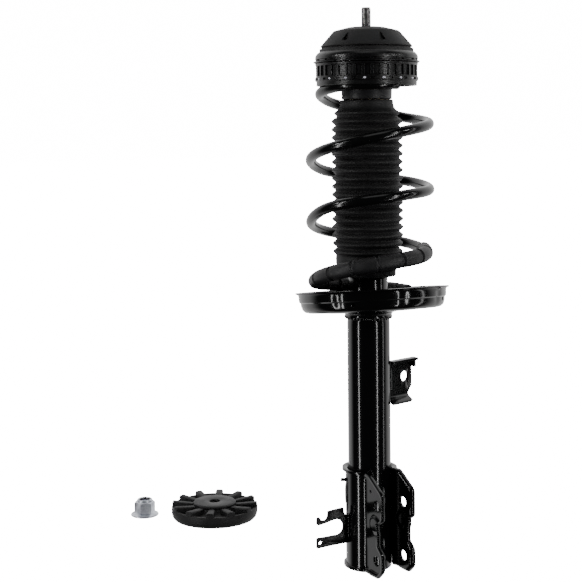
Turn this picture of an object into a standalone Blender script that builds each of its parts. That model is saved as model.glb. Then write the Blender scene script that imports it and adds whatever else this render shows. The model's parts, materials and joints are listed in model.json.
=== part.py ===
"""Front suspension strut of a small car, with its loose tower nut and rebound disc.

The origin is the centre of the strut tube's flat base, +Z runs up the piston rod and -Y points from
the tube to the steering knuckle that it bolts to. Lengths below are in millimetres and angles in
degrees; objects are made in metres. A compass angle (azimuth) is counted from +X towards +Y.
"""

from math import acos, atan2, cos, degrees, pi, radians, sin, sqrt

import bmesh
import bpy
from mathutils import Matrix, Vector

MM = 0.001
GAP = 0.3  # left between pieces that touch

# Facets round a full turn
FINE = 36
COARSE = 20

# Strut tube: a wide lower length, a shoulder under the spring seat, a narrower neck above it
TUBE_R = 25.5
NECK_R = 23.2
TUBE_WALL = 2.2
SHOULDER_Z = 294
TUBE_TOP_Z = 360

# Damper inside the tube
ROD_R = 11
STUD_R = 6
STUD_TOP_Z = 667
ROD_SHOULDER_Z = 606
CYLINDER_R = 16
CYLINDER_WALL = 1.3
PISTON_Z = 313
GUIDE_Z = 336

# Lower spring seat: a pan that is offset and tilted towards the wheel
SEAT_RIM_R = 91.8
SEAT_RIM_Z = 330.5
SEAT_DEPTH = 25
SEAT_OFFSET = 4.3
SEAT_OFFSET_AZIMUTH = -35
SEAT_HIGH_AZIMUTH = -100
SEAT_TILT = 7.2

# Coil spring: (azimuth, height) of the wire's centre along its climb, right-handed
WIRE_R = 6.3
SPRING_CLIMB = (
    (-5, 320), (55, 325), (145, 340), (193, 355), (235, 366), (272, 371), (325, 375), (369, 380.5),
    (456, 394), (505, 410), (558, 433), (626, 445), (685, 450), (731, 456.5), (819, 469),
    (865, 484), (918, 501), (986, 518), (1045, 528), (1091, 535), (1178, 553), (1225, 564),
    (1285, 572.4), (1360, 573.8),
)
SPRING_LOW_R = 65.5
SPRING_MID_R = 70.5
SPRING_TOP_R = 56
SPRING_END_R = 50.5
SPRING_SHIFT = 3
SLEEVE_R = 9
SLEEVE_END_AZIMUTH = 340
STEPS_PER_TURN = 24

# Dust boot and bumper
BOOT_TOP_Z = 556.5
BOOT_BOTTOM_Z = 347
FOLDS = 18
FOLD_TOP_Z = 540.5
FOLD_BOTTOM_Z = 376
FOLD_R = 42.6
FOLD_VALLEY_R = 38.4
HOUSING_R = 30.4
HOUSING_TOP_Z = 583.7

# Upper spring seat, bearing and top mount
SKIRT_R = 61.5
SKIRT_BOTTOM_Z = 573
SKIRT_TOP_Z = 600
BALLS = 12
BALL_R = 3
RACE_R = 44
MOUNT_R = 56.2
MOUNT_TOP_Z = 643
POCKETS = 7
FIRST_POCKET_AZIMUTH = -103

# Knuckle bracket: a sheet wrapped round the tube that ends in two flanges. U runs towards the knuckle
KNUCKLE_AZIMUTH = -90
SHEET = 3
WRAP_R = 27.4
WRAP_TOP_Z = 115
FLANGE_HALF_GAP = 19
FLANGE_TIP_U = 56.5
FLANGE_WAIST = 9
BOLT_U = 42
BOLT_Z = (21, 84)
BOLT_R = 6.1
LIP = 5

# Stabiliser link bracket, whose web stands beside the tube's axis, and the brake hose bracket
LINK_AZIMUTH = 10
LINK_WEB_V = 12
LINK_REACH = 61.5
LINK_Z = (192.5, 244.5)
LINK_HOLE = (47.5, 222)
HOSE_AZIMUTH = 172

# Loose hardware on the bench
DISC_AT = (-67, 269)
DISC_R = 58
HUB_R = 28.5
DISC_RIBS = 12
NUT_AT = (-143, 328)
NUT_HEX = 24.5
NUT_FLANGE_R = 19
NUT_TOP_Z = 19.5

MATERIALS = {
    "black_paint": ((0.012, 0.012, 0.014), 0.18, 0.0),
    "spring_paint": ((0.012, 0.012, 0.013), 0.22, 0.0),
    "chrome": ((0.62, 0.62, 0.64), 0.12, 1.0),
    "bare_steel": ((0.33, 0.33, 0.34), 0.35, 1.0),
    "zinc": ((0.62, 0.63, 0.66), 0.28, 1.0),
    "rubber": ((0.022, 0.022, 0.024), 0.62, 0.0),
    "black_plastic": ((0.018, 0.018, 0.02), 0.35, 0.0),
    "urethane": ((0.55, 0.48, 0.32), 0.8, 0.0),
    "bronze": ((0.45, 0.28, 0.12), 0.4, 1.0),
    "nylon": ((0.05, 0.05, 0.06), 0.5, 0.0),
}


def paint(obj, name):
    """Gives the object its own Principled material."""
    colour, roughness, metallic = MATERIALS[name]
    material = bpy.data.materials.new(f"{obj.name}_{name}")
    material.use_nodes = True
    shader = material.node_tree.nodes["Principled BSDF"]
    shader.inputs["Base Color"].default_value = (*colour, 1)
    shader.inputs["Roughness"].default_value = roughness
    shader.inputs["Metallic"].default_value = metallic
    obj.data.materials.append(material)


def solid(bm, name, finish, parent=None):
    """Turns a bmesh in millimetres into a named, smooth-shaded object in metres."""
    bmesh.ops.remove_doubles(bm, verts=bm.verts, dist=1e-4)
    bmesh.ops.recalc_face_normals(bm, faces=bm.faces)
    bmesh.ops.scale(bm, vec=(MM, MM, MM), verts=bm.verts)
    mesh = bpy.data.meshes.new(name)
    bm.to_mesh(mesh)
    bm.free()
    mesh.shade_smooth()
    mesh.set_sharp_from_angle(angle=radians(30))
    obj = bpy.data.objects.new(name, mesh)
    bpy.context.scene.collection.objects.link(obj)
    obj.parent = parent
    if finish:
        paint(obj, finish)
    return obj


def chain(bm, points, close):
    """Joins points into a line of edges and returns its vertices and edges."""
    verts = [bm.verts.new(p) for p in points]
    pairs = list(zip(verts, verts[1:]))
    if close:
        pairs.append((verts[-1], verts[0]))
    return verts + [bm.edges.new(pair) for pair in pairs]


def turned_mesh(profile, facets):
    """Spins an (r, z) outline round Z. An outline that meets the axis is left open there."""
    bm = bmesh.new()
    off_axis = all(r > 0 for r, z in profile)
    line = chain(bm, [(r, 0, z) for r, z in profile], off_axis)
    bmesh.ops.spin(
        bm, geom=line, cent=(0, 0, 0), axis=(0, 0, 1), dvec=(0, 0, 0),
        angle=2 * pi, steps=facets, use_merge=True,
    )
    bmesh.ops.remove_doubles(bm, verts=bm.verts, dist=1e-4)
    return bm


def turned(name, profile, finish, parent=None, facets=FINE):
    return solid(turned_mesh(profile, facets), name, finish, parent)


def ring(name, inner, outer, low, high, finish, parent=None, facets=COARSE):
    """A plain ring of rectangular section."""
    profile = [(inner, low), (outer, low), (outer, high), (inner, high)]
    return turned(name, profile, finish, parent, facets)


def slab_mesh(outline, thickness):
    """Extrudes an (x, z) outline along Y, centred on Y = 0."""
    bm = bmesh.new()
    face = bm.faces.new([bm.verts.new((x, -thickness / 2, z)) for x, z in outline])
    grown = bmesh.ops.extrude_face_region(bm, geom=[face])
    moved = [v for v in grown["geom"] if isinstance(v, bmesh.types.BMVert)]
    bmesh.ops.translate(bm, vec=(0, thickness, 0), verts=moved)
    return bm


def box_mesh(low, high):
    bm = bmesh.new()
    size = Vector(high) - Vector(low)
    middle = (Vector(high) + Vector(low)) / 2
    matrix = Matrix.Translation(middle) @ Matrix.Diagonal((*size, 1))
    bmesh.ops.create_cube(bm, size=1, matrix=matrix)
    return bm


def rod_mesh(radius, start, end, facets=COARSE):
    """A closed cylinder between two points."""
    bm = bmesh.new()
    along = Vector(end) - Vector(start)
    turn = along.to_track_quat("Z", "Y").to_matrix().to_4x4()
    matrix = Matrix.Translation((Vector(start) + Vector(end)) / 2) @ turn
    bmesh.ops.create_cone(
        bm, cap_ends=True, cap_tris=False, segments=facets,
        radius1=radius, radius2=radius, depth=along.length, matrix=matrix,
    )
    return bm


def place(bm, azimuth=0, at=(0, 0, 0)):
    """Turns a bmesh about Z and then moves it."""
    matrix = Matrix.Translation(at) @ Matrix.Rotation(radians(azimuth), 4, "Z")
    bmesh.ops.transform(bm, matrix=matrix, verts=bm.verts)
    return bm


def change(obj, bm, operation, helper_name):
    """Cuts a helper shape from an object, or joins it on, with a Boolean modifier."""
    helper = solid(bm, helper_name, None)
    helper.hide_render = True
    helper.display_type = "WIRE"
    modifier = obj.modifiers.new(helper_name, "BOOLEAN")
    modifier.object = helper
    modifier.operation = operation
    modifier.solver = "EXACT"


def hex_nut(name, bore, across_flats, low, high, finish, parent):
    """A hexagon on the rod's axis with a round bore through it."""
    corner = across_flats / sqrt(3)
    hexagon = turned_mesh([(0, low), (corner, low), (corner, high), (0, high)], 6)
    nut = solid(hexagon, name, finish, parent)
    cutter = rod_mesh(bore, (0, 0, low - 5), (0, 0, high + 5), COARSE)
    change(nut, cutter, "DIFFERENCE", f"{name}_bore")


def body(name):
    """An empty that carries the pieces of one rigid body."""
    empty = bpy.data.objects.new(name, None)
    bpy.context.scene.collection.objects.link(empty)
    return empty


def polar(radius, azimuth, z=0.0):
    return Vector((radius * cos(radians(azimuth)), radius * sin(radians(azimuth)), z))


# ---------------------------------------------------------------- strut tube and damper


def strut_tube(parent):
    wall = TUBE_WALL
    turned(
        "strut_tube",
        [
            (TUBE_R - wall, 1), (TUBE_R, 1), (TUBE_R, SHOULDER_Z), (NECK_R, SHOULDER_Z + 8),
            (NECK_R, TUBE_TOP_Z), (NECK_R - wall, TUBE_TOP_Z), (NECK_R - wall, SHOULDER_Z + 6),
            (TUBE_R - wall, SHOULDER_Z - 2),
        ],
        "black_paint", parent,
    )
    inner = TUBE_R - wall - GAP
    turned(
        "tube_base",
        [(0, 0), (inner, 0), (inner, 9), (inner - 3, 9), (inner - 5, 5), (0, 5)],
        "black_paint", parent, COARSE,
    )


def damper_inside_tube(parent):
    """The fixed half of the damper: pressure cylinder, foot valve, rod guide and seal."""
    outer = CYLINDER_R + CYLINDER_WALL
    neck = NECK_R - TUBE_WALL - GAP
    ring("inner_cylinder", CYLINDER_R, outer, 24, GUIDE_Z - GAP, "bare_steel", parent)
    turned(
        "foot_valve",
        [(0, 9.5), (15, 9.5), (outer, 13), (outer, 23.5), (12, 23.5), (12, 19), (0, 19)],
        "bare_steel", parent, COARSE,
    )
    turned(
        "rod_guide",
        [
            (ROD_R + 1.8, GUIDE_Z), (neck, GUIDE_Z), (neck, GUIDE_Z + 13),
            (ROD_R + 4, GUIDE_Z + 13), (ROD_R + 1.8, GUIDE_Z + 10),
        ],
        "bare_steel", parent, COARSE,
    )
    ring("guide_bushing", ROD_R + GAP, ROD_R + 1.5, GUIDE_Z + 1, GUIDE_Z + 9.5, "bronze", parent)
    seal_z = GUIDE_Z + 13 + GAP
    turned(
        "rod_seal",
        [
            (ROD_R + GAP, seal_z), (neck, seal_z), (neck, seal_z + 4),
            (ROD_R + 4, seal_z + 5), (ROD_R + GAP, seal_z + 8),
        ],
        "rubber", parent, COARSE,
    )
    turned(
        "bump_cap",
        [
            (ROD_R + 2, TUBE_TOP_Z + GAP), (NECK_R + GAP, TUBE_TOP_Z + GAP),
            (NECK_R + GAP, TUBE_TOP_Z - 3), (NECK_R + 1.8, TUBE_TOP_Z - 3),
            (NECK_R + 1.8, TUBE_TOP_Z + 2), (NECK_R, TUBE_TOP_Z + 4), (ROD_R + 2, TUBE_TOP_Z + 4),
        ],
        "black_plastic", parent, COARSE,
    )


def rod_and_piston(parent):
    """The moving half of the damper. The rod's thin upper end is the threaded stud."""
    tip = PISTON_Z + 22
    turned(
        "piston_rod",
        [
            (0, PISTON_Z - 12), (5, PISTON_Z - 12), (5, tip), (ROD_R, tip),
            (ROD_R, ROD_SHOULDER_Z - 1), (ROD_R - 1, ROD_SHOULDER_Z), (STUD_R, ROD_SHOULDER_Z),
            (STUD_R, STUD_TOP_Z - 1), (STUD_R - 1, STUD_TOP_Z), (0, STUD_TOP_Z),
        ],
        "chrome", parent, COARSE,
    )
    bore = 5 + GAP
    ring("piston", bore, CYLINDER_R - 1.8, PISTON_Z, PISTON_Z + 14, "bare_steel", parent)
    ring("piston_band", CYLINDER_R - 1.5, CYLINDER_R - GAP, PISTON_Z + 2, PISTON_Z + 12,
         "nylon", parent)
    ring("piston_valve_plate", bore, 12, PISTON_Z + 14.3, PISTON_Z + 16, "bare_steel", parent)
    ring("rebound_stop", bore, 14, PISTON_Z + 16.3, tip - GAP, "rubber", parent)
    hex_nut("piston_nut", bore, 17, PISTON_Z - 9, PISTON_Z - GAP, "bare_steel", parent)


# ---------------------------------------------------------------- lower spring seat


def seat_frame():
    """The matrix of the tilted, offset pan."""
    axis = polar(1, SEAT_HIGH_AZIMUTH).cross(Vector((0, 0, 1)))
    return (
        Matrix.Translation(polar(SEAT_OFFSET, SEAT_OFFSET_AZIMUTH, SEAT_RIM_Z))
        @ Matrix.Rotation(radians(SEAT_TILT), 4, axis)
    )


def lower_spring_seat(parent):
    """A pressed pan whose collar stays true to the tube while its wall follows the tilt."""
    collar = TUBE_R + GAP
    depth = SEAT_DEPTH
    sheet = 2.5
    profile = [
        (collar, -32), (collar + sheet, -32), (collar + sheet, -29), (36, -depth),
        (80, -depth), (86, -18), (88, -3), (SEAT_RIM_R, -2), (SEAT_RIM_R, 0), (86, 0),
        (83.6, -18), (79, sheet - depth), (36, sheet - depth), (collar, -26),
    ]
    bm = turned_mesh(profile, FINE)
    pan = seat_frame()
    for vert in bm.verts:
        reach = Vector((vert.co.x, vert.co.y)).length
        share = min(1, max(0, (reach - collar - sheet - 1) / 18))
        upright = vert.co + Vector((0, 0, SEAT_RIM_Z))
        vert.co = upright.lerp(pan @ vert.co, share)
    solid(bm, "lower_spring_seat", "black_paint", parent)


# ---------------------------------------------------------------- spring and its sleeve


def smooth_step(low, high, value):
    share = min(1, max(0, (value - low) / (high - low)))
    return share * share * (3 - 2 * share)


def climb(azimuth):
    """Height of the wire's centre: a cubic through the listed heights, with eased slopes."""
    last = len(SPRING_CLIMB) - 1
    azimuth = min(max(azimuth, SPRING_CLIMB[0][0]), SPRING_CLIMB[last][0])
    step = max(i for i in range(last) if SPRING_CLIMB[i][0] <= azimuth)
    (a0, z0), (a1, z1) = SPRING_CLIMB[step], SPRING_CLIMB[step + 1]
    before, after = SPRING_CLIMB[max(step - 1, 0)], SPRING_CLIMB[min(step + 2, last)]
    slope_0 = (z1 - before[1]) / (a1 - before[0]) * (a1 - a0)
    slope_1 = (after[1] - z0) / (after[0] - a0) * (a1 - a0)
    t = (azimuth - a0) / (a1 - a0)
    return (
        (2 * t**3 - 3 * t**2 + 1) * z0 + (t**3 - 2 * t**2 + t) * slope_0
        + (3 * t**2 - 2 * t**3) * z1 + (t**3 - t**2) * slope_1
    )


def coil_centre(azimuth):
    """Centre of the spring wire at an azimuth that keeps counting past each full turn."""
    radius = SPRING_LOW_R + (SPRING_MID_R - SPRING_LOW_R) * smooth_step(325, 505, azimuth)
    radius -= (SPRING_MID_R - SPRING_TOP_R) * smooth_step(1045, 1225, azimuth)
    radius -= (SPRING_TOP_R - SPRING_END_R) * smooth_step(1215, 1275, azimuth)
    middle = polar(SPRING_SHIFT * (1 - smooth_step(1045, 1225, azimuth)), SEAT_OFFSET_AZIMUTH)
    return middle + polar(radius, azimuth, climb(azimuth))


def wound(bm, start, end):
    """Winds a straight bar along +Z, of unit length, round the coil between two azimuths."""
    for vert in bm.verts:
        azimuth = start + vert.co.z * (end - start)
        tangent = (coil_centre(azimuth + 1) - coil_centre(azimuth - 1)).normalized()
        upward = polar(1, azimuth).cross(tangent).normalized()
        outward = tangent.cross(upward)
        vert.co = coil_centre(azimuth) + outward * vert.co.x + upward * vert.co.y
    return bm


def bar_mesh(inner, outer, lengths):
    """A straight eight-sided bar, or a pipe where the inner radius isn't 0, of unit length."""
    heights = [step / lengths for step in range(lengths + 1)]
    wall = [(outer, z) for z in heights]
    back = [(inner, z) for z in reversed(heights)]
    return turned_mesh(wall + back if inner else [(0, 0), *wall, (0, 1)], 8)


def spring_and_sleeve(parent):
    """The spring, and the rubber tube pushed over its lowest turn from just past the wire's end."""
    start, end = SPRING_CLIMB[0][0], SPRING_CLIMB[-1][0]
    lengths = round((end - start) / 360 * STEPS_PER_TURN)
    solid(wound(bar_mesh(0, WIRE_R, lengths), start, end), "coil_spring", "spring_paint", parent)
    start += 360 / STEPS_PER_TURN
    lengths = round((SLEEVE_END_AZIMUTH - start) / 360 * STEPS_PER_TURN)
    pipe = bar_mesh(WIRE_R + GAP, SLEEVE_R, lengths)
    solid(wound(pipe, start, SLEEVE_END_AZIMUTH), "spring_sleeve", "rubber", parent)


# ---------------------------------------------------------------- boot and bumper


def dust_boot(parent):
    """Bellows with a straight bore, a flared neck on top and a tapered cuff below."""
    pitch = (FOLD_TOP_Z - FOLD_BOTTOM_Z) / (FOLDS - 1)
    profile = [(32.4, 544), (30, 550), (28.4, BOOT_TOP_Z), (30.6, BOOT_TOP_Z), (32.6, 548), (34.6, 544)]
    for fold in range(FOLDS):
        z = FOLD_TOP_Z - fold * pitch
        profile += [(FOLD_R if fold else 39, z), (FOLD_VALLEY_R, z - pitch / 2)]
    profile += [(40, 370), (33, BOOT_BOTTOM_Z), (31.3, BOOT_BOTTOM_Z), (35.6, 368), (35.6, 537)]
    turned("dust_boot", profile, "rubber", parent, COARSE)
    ring("boot_retainer", NECK_R + GAP, 31, BOOT_BOTTOM_Z, 355, "black_plastic", parent)


def bumper(parent):
    top = HOUSING_TOP_Z
    turned(
        "bumper_housing",
        [
            (ROD_R + 1.5, top - 3), (HOUSING_R - 2, top - 3), (HOUSING_R - 2, 557),
            (HOUSING_R, 557), (HOUSING_R, top), (ROD_R + 1.5, top),
        ],
        "black_plastic", parent,
    )
    turned(
        "jounce_bumper",
        [
            (ROD_R + 0.6, 490), (15, 490), (18, 494), (17, 499), (21, 507), (19.5, 515),
            (24, 525), (22.5, 534), (26, 545), (26, top - 3.3), (ROD_R + 0.6, top - 3.3),
        ],
        "urethane", parent, COARSE,
    )


# ---------------------------------------------------------------- upper seat and bearing


def upper_spring_seat(parent):
    """The carrier that the spring pushes on; its skirt is ribbed all round."""
    profile = [
        (24, 584), (57.8, 584), (57.8, 575), (58.3, SKIRT_BOTTOM_Z), (60, SKIRT_BOTTOM_Z),
        (60, 578.5), (SKIRT_R, 579.5), (SKIRT_R, 582.5), (59.8, 584), (59.8, 597.5),
        (SKIRT_R, 598.5), (SKIRT_R, SKIRT_TOP_Z), (54, SKIRT_TOP_Z), (54, 587), (24, 587),
    ]
    ribs = 24
    bm = turned_mesh(profile, 2 * ribs)
    for vert in bm.verts:
        column = round(degrees(atan2(vert.co.y, vert.co.x)) * ribs / 180)
        reach = Vector((vert.co.x, vert.co.y)).length
        if column % 2 and 59 < reach < 60 and vert.co.z > 583:
            vert.co.x *= (SKIRT_R - 0.3) / reach
            vert.co.y *= (SKIRT_R - 0.3) / reach
    solid(bm, "upper_spring_seat", "black_plastic", parent)
    ring("upper_spring_pad", 44, 57.3, 580.4, 583.7, "rubber", parent)
    ring("bearing_lower_race", RACE_R - 6, RACE_R + 6, 587.3, 591, "bare_steel", parent)


def ball_bearing(parent):
    """The cage with its balls snapped in, as one solid."""
    middle = 591 + GAP + BALL_R
    cage = ring("ball_cage", RACE_R - 5, RACE_R + 5, middle - 1.2, middle + 1.2, "nylon", parent)
    for number in range(BALLS):
        ball = bmesh.new()
        at = Matrix.Translation(polar(RACE_R, 360 * (number + 0.5) / BALLS, middle))
        bmesh.ops.create_uvsphere(ball, u_segments=6, v_segments=4, radius=BALL_R, matrix=at)
        change(cage, ball, "UNION", f"bearing_ball_{number + 1}")


# ---------------------------------------------------------------- top mount


def top_mount(parent):
    ring("bearing_upper_race", RACE_R - 6, RACE_R + 6, 597.6, 601.2, "bare_steel", parent)
    turned(
        "bearing_cover",
        [
            (34, 601.5), (52, 601.5), (53, 600.4), (63.6, 600.4), (63.6, 602.2),
            (SKIRT_R, 602.6), (SKIRT_R, 607.5), (57.5, 613.8), (56.6, 613.8), (56.6, 607),
            (34, 607),
        ],
        "black_plastic", parent,
    )
    ring("mount_plate", 12, 55, 607.3, 609.3, "bare_steel", parent, FINE)
    rubber = turned(
        "mount_rubber",
        [
            (10.3, 609.6), (MOUNT_R, 609.6), (MOUNT_R, 618), (55, 618.4), (39.2, 638.6),
            (21.5, MOUNT_TOP_Z), (7, MOUNT_TOP_Z), (7, 641), (13.5, 641), (13.5, 629), (10.3, 629),
        ],
        "rubber", parent,
    )
    for number in range(POCKETS):
        azimuth = FIRST_POCKET_AZIMUTH + 360 * number / POCKETS
        pocket = slab_mesh([(43, 636), (46, 624), (60, 624), (60, 636)], 6)
        change(rubber, place(pocket, azimuth), "DIFFERENCE", f"mount_pocket_{number + 1}")
    ring("mount_sleeve", STUD_R + GAP, 10, ROD_SHOULDER_Z + GAP, 630, "bare_steel", parent)
    hex_nut("rod_nut", STUD_R + GAP, 19, 630.3, 640.3, "zinc", parent)


# ---------------------------------------------------------------- knuckle bracket


def flange_tip(z):
    """How far the flanges reach from the tube's axis: two lobes round the bolts, and a waist."""
    waist = smooth_step(28, 40, z) * (1 - smooth_step(65, 73, z))
    corners = 8 * (1 - smooth_step(4, 15, z)) + 3 * smooth_step(97, 102, z)
    return FLANGE_TIP_U - FLANGE_WAIST * waist - corners


def flange_ends(u):
    """Lowest and highest point of a flange at a distance from the tube's axis."""
    low = 7 + 4 * smooth_step(18, 27, u) - 7 * smooth_step(30, 42, u)
    high = WRAP_TOP_Z - max(0, u - 33) * 0.61
    return low, high


def bracket_columns():
    """Plan of the sheet, as (share along a flange or None, azimuth, side) for each column."""
    bend = degrees(acos(sqrt(1 - (FLANGE_HALF_GAP / WRAP_R) ** 2)))
    shares = (1, 0.8, 0.6, 0.4, 0.2, 0)
    steps = 18
    wrap = [(None, -bend - step * (360 - 2 * bend) / steps, 0) for step in range(1, steps)]
    near = [(share, 0, -1) for share in shares]
    return near + wrap + [(share, 0, 1) for share in reversed(shares)]


def bracket_point(column, height):
    """A point of the sheet and the way its lip turns, in a frame where +X is the knuckle's side."""
    share, azimuth, side = column
    if share is None:
        return polar(WRAP_R, azimuth, 2 + height * (WRAP_TOP_Z - 2)), polar(1, azimuth)
    root = sqrt(WRAP_R**2 - FLANGE_HALF_GAP**2)
    low, high = flange_ends(root + share * (FLANGE_TIP_U - root))
    z = low + height * (high - low)
    u = root + share * (flange_tip(z) - root)
    return Vector((u, side * FLANGE_HALF_GAP, z)), Vector((0, side, 0))


def knuckle_bracket(parent):
    """One pressed sheet, wrapped round the tube, with a lip turned out along its whole edge."""
    columns = bracket_columns()
    rows = 20
    bm = bmesh.new()
    bmesh.ops.create_grid(bm, x_segments=len(columns) - 1, y_segments=rows, size=0.5)
    outward = {}
    for vert in bm.verts:
        column = columns[round((vert.co.x + 0.5) * (len(columns) - 1))]
        vert.co, way = bracket_point(column, vert.co.y + 0.5)
        outward[vert.co.copy().freeze()] = way
    rim = [edge for edge in bm.edges if edge.is_boundary]
    lip = bmesh.ops.extrude_edge_only(bm, edges=rim)["geom"]
    for vert in [part for part in lip if isinstance(part, bmesh.types.BMVert)]:
        vert.co += outward[vert.co.copy().freeze()] * LIP
    place(bm, KNUCKLE_AZIMUTH)
    bracket = solid(bm, "knuckle_bracket", "black_paint", parent)
    sheet = bracket.modifiers.new("sheet", "SOLIDIFY")
    sheet.thickness = SHEET * MM
    sheet.offset = 0
    sheet.use_even_offset = True
    for number, z in enumerate(BOLT_Z):
        hole = rod_mesh(BOLT_R, (BOLT_U, -45, z), (BOLT_U, 45, z), 20)
        change(bracket, place(hole, KNUCKLE_AZIMUTH), "DIFFERENCE", f"bolt_hole_{number + 1}")
    locator = rod_mesh(2, (31, -45, 99), (31, 0, 99), 12)
    change(bracket, place(locator, KNUCKLE_AZIMUTH), "DIFFERENCE", "locating_hole")
    flat = FLANGE_HALF_GAP - SHEET / 2 + 0.05
    gap = box_mesh((21, -flat, -10), (80, flat, 130))
    change(bracket, place(gap, KNUCKLE_AZIMUTH), "DIFFERENCE", "faced_gap")


# ---------------------------------------------------------------- small brackets


def link_bracket(parent):
    """A folded shelf for the stabiliser link, cut to sit against the tube.

    One outline across the web and its two long flanges is swept along U, and the tip lip is joined
    on as a strip.
    """
    low, high = LINK_Z
    fold = 14
    section = [
        (0, low + 6.5), (fold, low), (fold, low + 3.4), (SHEET, low + 8), (SHEET, high - SHEET),
        (fold - 2, high - SHEET), (fold - 2, high), (0, high),
    ]
    bm = slab_mesh(section, LINK_REACH - 12)
    turn = Matrix.Rotation(radians(-90), 4, "Z")
    shift = Matrix.Translation((12 + (LINK_REACH - 12) / 2, 1.5 - LINK_WEB_V, 0))
    bmesh.ops.transform(bm, matrix=shift @ turn, verts=bm.verts)
    bracket = solid(place(bm, LINK_AZIMUTH), "link_bracket", "black_paint", parent)
    face = 1.5 - LINK_WEB_V
    lip = box_mesh((LINK_REACH - SHEET, face - 8, low + 20), (LINK_REACH + 0.5, face - 1, high - 1))
    change(bracket, place(lip, LINK_AZIMUTH), "UNION", "link_tip_lip")
    corner = slab_mesh([(44, low - 4), (70, low - 4), (70, low + 18), (LINK_REACH - 1, low + 18)], 60)
    change(bracket, place(corner, LINK_AZIMUTH), "DIFFERENCE", "link_cut_corner")
    tube = rod_mesh(TUBE_R + GAP, (0, 0, 150), (0, 0, 280), FINE)
    change(bracket, tube, "DIFFERENCE", "link_tube_clearance")
    u, z = LINK_HOLE
    hole = rod_mesh(6.3, (u, -40, z), (u, 10, z), 20)
    change(bracket, place(hole, LINK_AZIMUTH), "DIFFERENCE", "link_hole")


def arc(centre, radius, start, end, steps):
    """Points of an arc in the (x, z) plane."""
    angles = [radians(start + (end - start) * step / steps) for step in range(steps + 1)]
    return [(centre[0] + radius * cos(a), centre[1] + radius * sin(a)) for a in angles]


def hose_bracket(parent):
    """A fork for the brake hose: a straight lower arm, and an upper arm with a notch and a hook."""
    outline = [(26, 32), (50, 31), (70.5, 30), (70.5, 40), (68.5, 42.3), (48, 42.8)]
    outline += arc((45.5, 52), 9.3, -90, -270, 8)
    outline += [(58, 58.7), (68, 57), (70.5, 59), (70.3, 64), (67.5, 66)]
    outline += arc((61.6, 66.5), 4.8, -20, -170, 5)
    outline += [(55.8, 72), (38, 74), (35.5, 73), (35, 68), (33, 65), (26, 65)]
    plate = place(slab_mesh(outline, SHEET), HOSE_AZIMUTH)
    bracket = solid(plate, "hose_bracket", "black_paint", parent)
    wrap = rod_mesh(WRAP_R + SHEET / 2 + GAP, (0, 0, -20), (0, 0, 120), 2 * FINE)
    change(bracket, wrap, "DIFFERENCE", "hose_wrap_clearance")
    hole = rod_mesh(2.2, (66, -10, 36), (66, 10, 36), 12)
    change(bracket, place(hole, HOSE_AZIMUTH), "DIFFERENCE", "hose_clip_hole")


# ---------------------------------------------------------------- loose hardware


def rebound_disc(parent):
    """A ribbed rubber disc with a rubber-skinned steel washer bonded in its middle."""
    at = (*DISC_AT, 0)
    hub = 17.5
    profile = [
        (7, 0), (DISC_R - 5, 0), (DISC_R, 7), (DISC_R, 13.5), (HUB_R + 0.5, 13), (HUB_R + 0.5, hub),
        (7, hub),
    ]
    rubber = solid(place(turned_mesh(profile, 2 * COARSE), 0, at), "rebound_disc", "rubber", parent)
    for number in range(DISC_RIBS):
        rib = box_mesh((24, -4.8, 4), (DISC_R - 0.4, 4.8, 20.5))
        azimuth = 85 + 360 * number / DISC_RIBS
        change(rubber, place(rib, azimuth, at), "UNION", f"disc_rib_{number + 1}")
    seat = turned_mesh([(5, hub), (HUB_R + 0.3, hub), (HUB_R + 0.3, 28), (5, 28)], COARSE)
    change(rubber, place(seat, 0, at), "DIFFERENCE", "disc_washer_seat")
    low, high = hub + GAP, 22
    washer = turned_mesh([(6.6, low), (HUB_R, low), (HUB_R, high), (6.6, high)], COARSE)
    solid(place(washer, 0, at), "disc_washer", "rubber", parent)


def tower_nut(parent):
    """A flanged hexagon nut with a nylon locking ring in its collar."""
    at = (*NUT_AT, 0)
    flange = turned_mesh([(5, 0), (NUT_FLANGE_R, 0), (NUT_FLANGE_R, 2), (11, 5.5), (5, 5.5)], COARSE)
    nut = solid(place(flange, 0, at), "tower_nut", "zinc", parent)
    hexagon = rod_mesh(NUT_HEX / sqrt(3), (0, 0, 3), (0, 0, NUT_TOP_Z), 6)
    change(nut, place(hexagon, 12, at), "UNION", "nut_hexagon")
    bore = rod_mesh(STUD_R + 0.4, (0, 0, -5), (0, 0, 30), COARSE)
    change(nut, place(bore, 0, at), "DIFFERENCE", "nut_bore")
    low, high = NUT_TOP_Z + GAP, 22.5
    profile = [(STUD_R + 0.6, low), (9.4, low), (8.6, high), (STUD_R + 0.6, high)]
    solid(place(turned_mesh(profile, COARSE), 0, at), "nut_locking_ring", "nylon", parent)


# ---------------------------------------------------------------- assembly


def build():
    for obj in list(bpy.data.objects):
        bpy.data.objects.remove(obj)
    tube = body("tube_body")
    carrier = body("carrier_body")
    cage = body("cage_body")
    mount = body("mount_body")
    disc = body("disc_body")
    nut = body("nut_body")
    strut_tube(tube)
    damper_inside_tube(tube)
    lower_spring_seat(tube)
    spring_and_sleeve(tube)
    dust_boot(tube)
    knuckle_bracket(tube)
    link_bracket(tube)
    hose_bracket(tube)
    bumper(carrier)
    upper_spring_seat(carrier)
    ball_bearing(cage)
    top_mount(mount)
    rod_and_piston(mount)
    rebound_disc(disc)
    tower_nut(nut)


build()
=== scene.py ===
"""Looks of a front suspension strut: a gloss black damper tube with its brackets, a coil spring
between two seats, a bellows boot, a rubber top mount and the loose stop disc and nut beside it.

Every mesh is drawn in millimetres, with +Z up the damper's axis and -Y towards the knuckle, and is
set down in metres. A compass angle (azimuth) is in degrees, counted from +X towards +Y.
"""

import json
from math import acos, atan2, cos, degrees, pi, radians, sin, sqrt

import bmesh
import bpy
from mathutils import Matrix, Vector


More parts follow.
